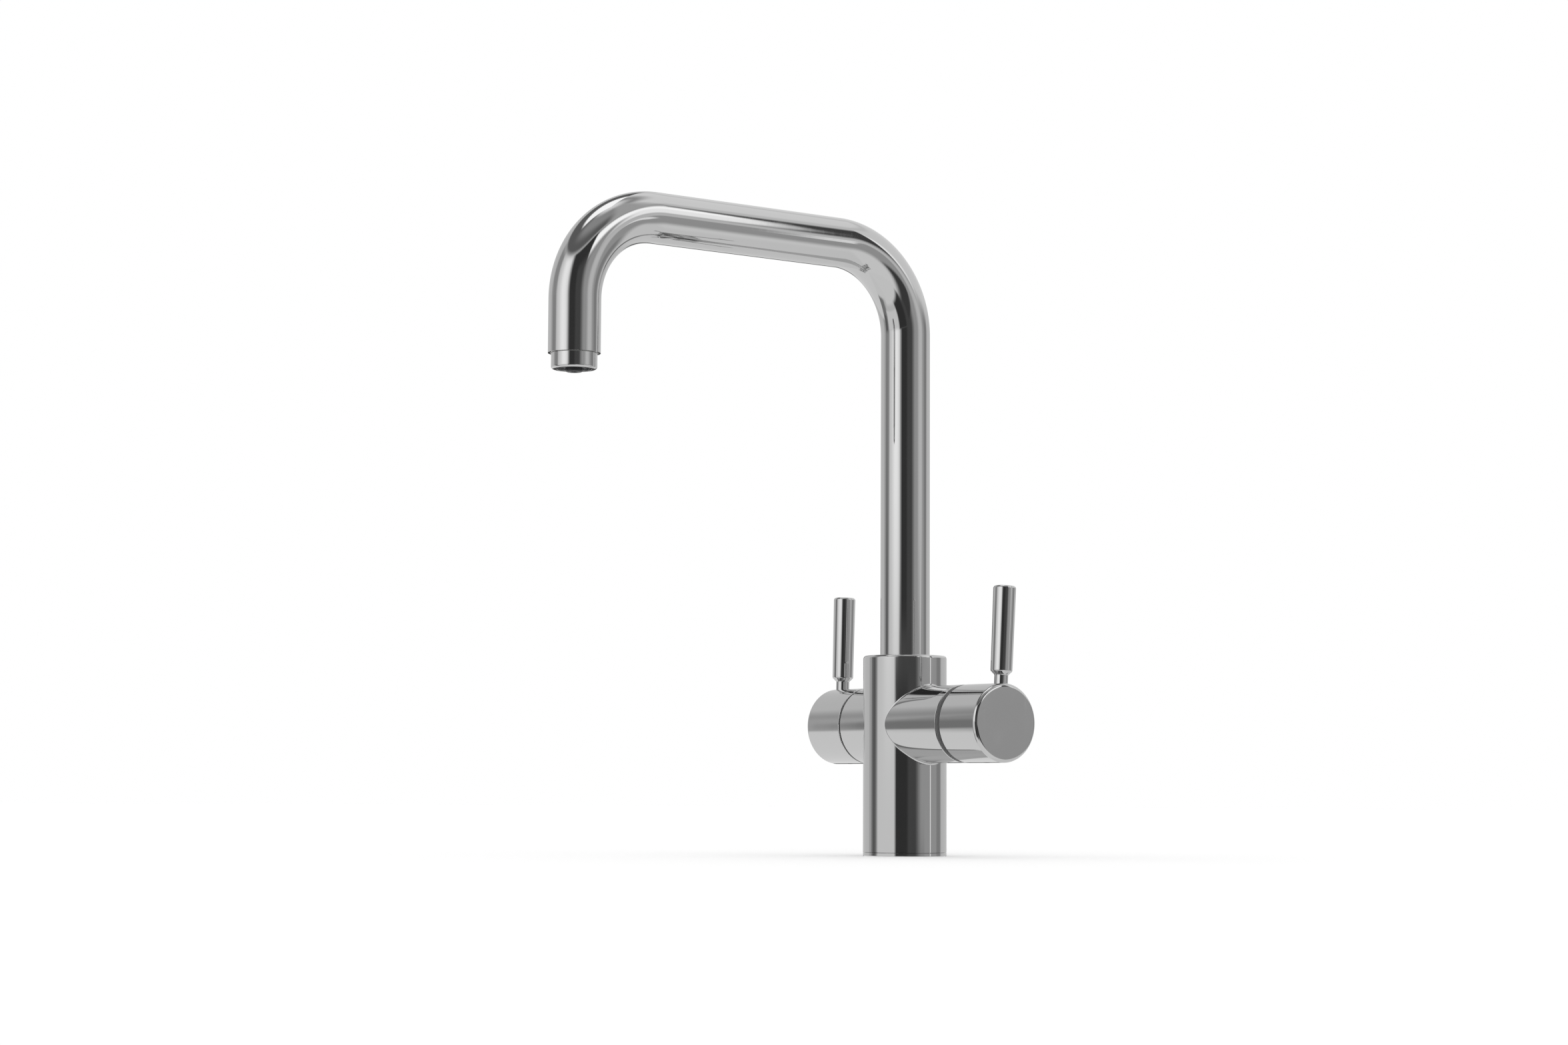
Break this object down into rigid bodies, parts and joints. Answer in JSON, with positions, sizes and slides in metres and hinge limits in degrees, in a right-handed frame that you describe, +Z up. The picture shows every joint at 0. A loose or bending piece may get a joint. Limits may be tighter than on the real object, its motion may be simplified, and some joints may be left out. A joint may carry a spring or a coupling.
{
  "type": "boiling water tap",
  "caption": "Kitchen tap with a cross-shaped round body, a swivelling U spout, a mixer lever hub and a push-and-turn boiling water lever hub.",
  "frame": {"origin": "centre of the round base on the worktop's surface", "axes": "+Z up along the body, the spout reaches towards -Y, the user stands at -Y, the mixer handle is on the -X side and the boiling water handle on the +X side"},
  "size_m": [0.1582, 0.2643, 0.3645],
  "materials": {
    "polished_chrome": "polished chrome plate on brass",
    "brass": "machined brass",
    "stainless_steel": "stainless steel",
    "black_acetal": "moulded black acetal",
    "white_acetal": "moulded white acetal",
    "grey_plastic": "moulded grey plastic",
    "ceramic": "lapped alumina ceramic",
    "black_rubber": "moulded rubber",
    "silicone_tube": "translucent silicone tube"
  },
  "bodies": {
    "root": {"tap_body": "polished_chrome", "base_ring": "polished_chrome", "base_gasket": "black_rubber", "spout_upper_bush": "black_acetal", "spout_lower_bush": "white_acetal", "spout_retaining_screw": "stainless_steel", "mixer_base_seal": "black_rubber", "mixer_cartridge_base": "grey_plastic", "mixer_fixed_disc": "ceramic", "mixer_cartridge_housing": "brass", "mixer_housing_oring": "black_rubber", "mixer_retaining_nut": "brass", "mixer_guide_ring": "grey_plastic", "boil_valve_seal": "black_rubber", "boil_fixed_disc": "ceramic", "boil_valve_housing": "brass", "boil_housing_oring": "black_rubber", "boil_retaining_nut": "brass", "boil_guide_ring": "grey_plastic"},
    "spout": {"spout_tube": "polished_chrome", "spout_spigot": "brass", "spigot_orings": "black_rubber", "centre_oring": "black_rubber", "filtered_water_tube": "silicone_tube", "outlet_sleeve": "stainless_steel", "aerator_housing": "polished_chrome", "aerator_seal": "black_rubber", "aerator_insert": "grey_plastic", "filtered_nozzle": "black_acetal"},
    "mixer_handle": {"mixer_hub": "polished_chrome", "mixer_lever": "polished_chrome", "mixer_hub_screw": "stainless_steel", "mixer_spindle": "brass", "mixer_spindle_orings": "black_rubber", "mixer_moving_disc": "ceramic"},
    "boil_spindle": {"boil_spindle": "brass", "boil_spindle_orings": "black_rubber", "boil_moving_disc": "ceramic", "boil_spring_seat": "stainless_steel"},
    "boil_handle": {"boil_hub": "polished_chrome", "boil_lever": "polished_chrome", "boil_hub_screw": "stainless_steel", "boil_return_spring": "stainless_steel"}
  },
  "joints": [
    {"name": "spout_swivel", "type": "hinge", "parent": "root", "child": "spout", "pos_m": [0, 0, 0.1], "axis": [0, 0, 1], "continuous": true},
    {"name": "mixer_turn", "type": "hinge", "parent": "root", "child": "mixer_handle", "pos_m": [0, 0, 0.0748], "axis": [1, 0, 0], "range_deg": [0, 90]},
    {"name": "boil_turn", "type": "hinge", "parent": "root", "child": "boil_spindle", "pos_m": [0, 0, 0.0748], "axis": [1, 0, 0], "range_deg": [0, 90]},
    {"name": "boil_push", "type": "slide", "parent": "boil_spindle", "child": "boil_handle", "axis": [-1, 0, 0], "range_m": [0, 0.0028], "stiffness_N_per_m": 1700, "springref_m": -0.0024, "deforming": ["boil_return_spring"]}
  ]
}
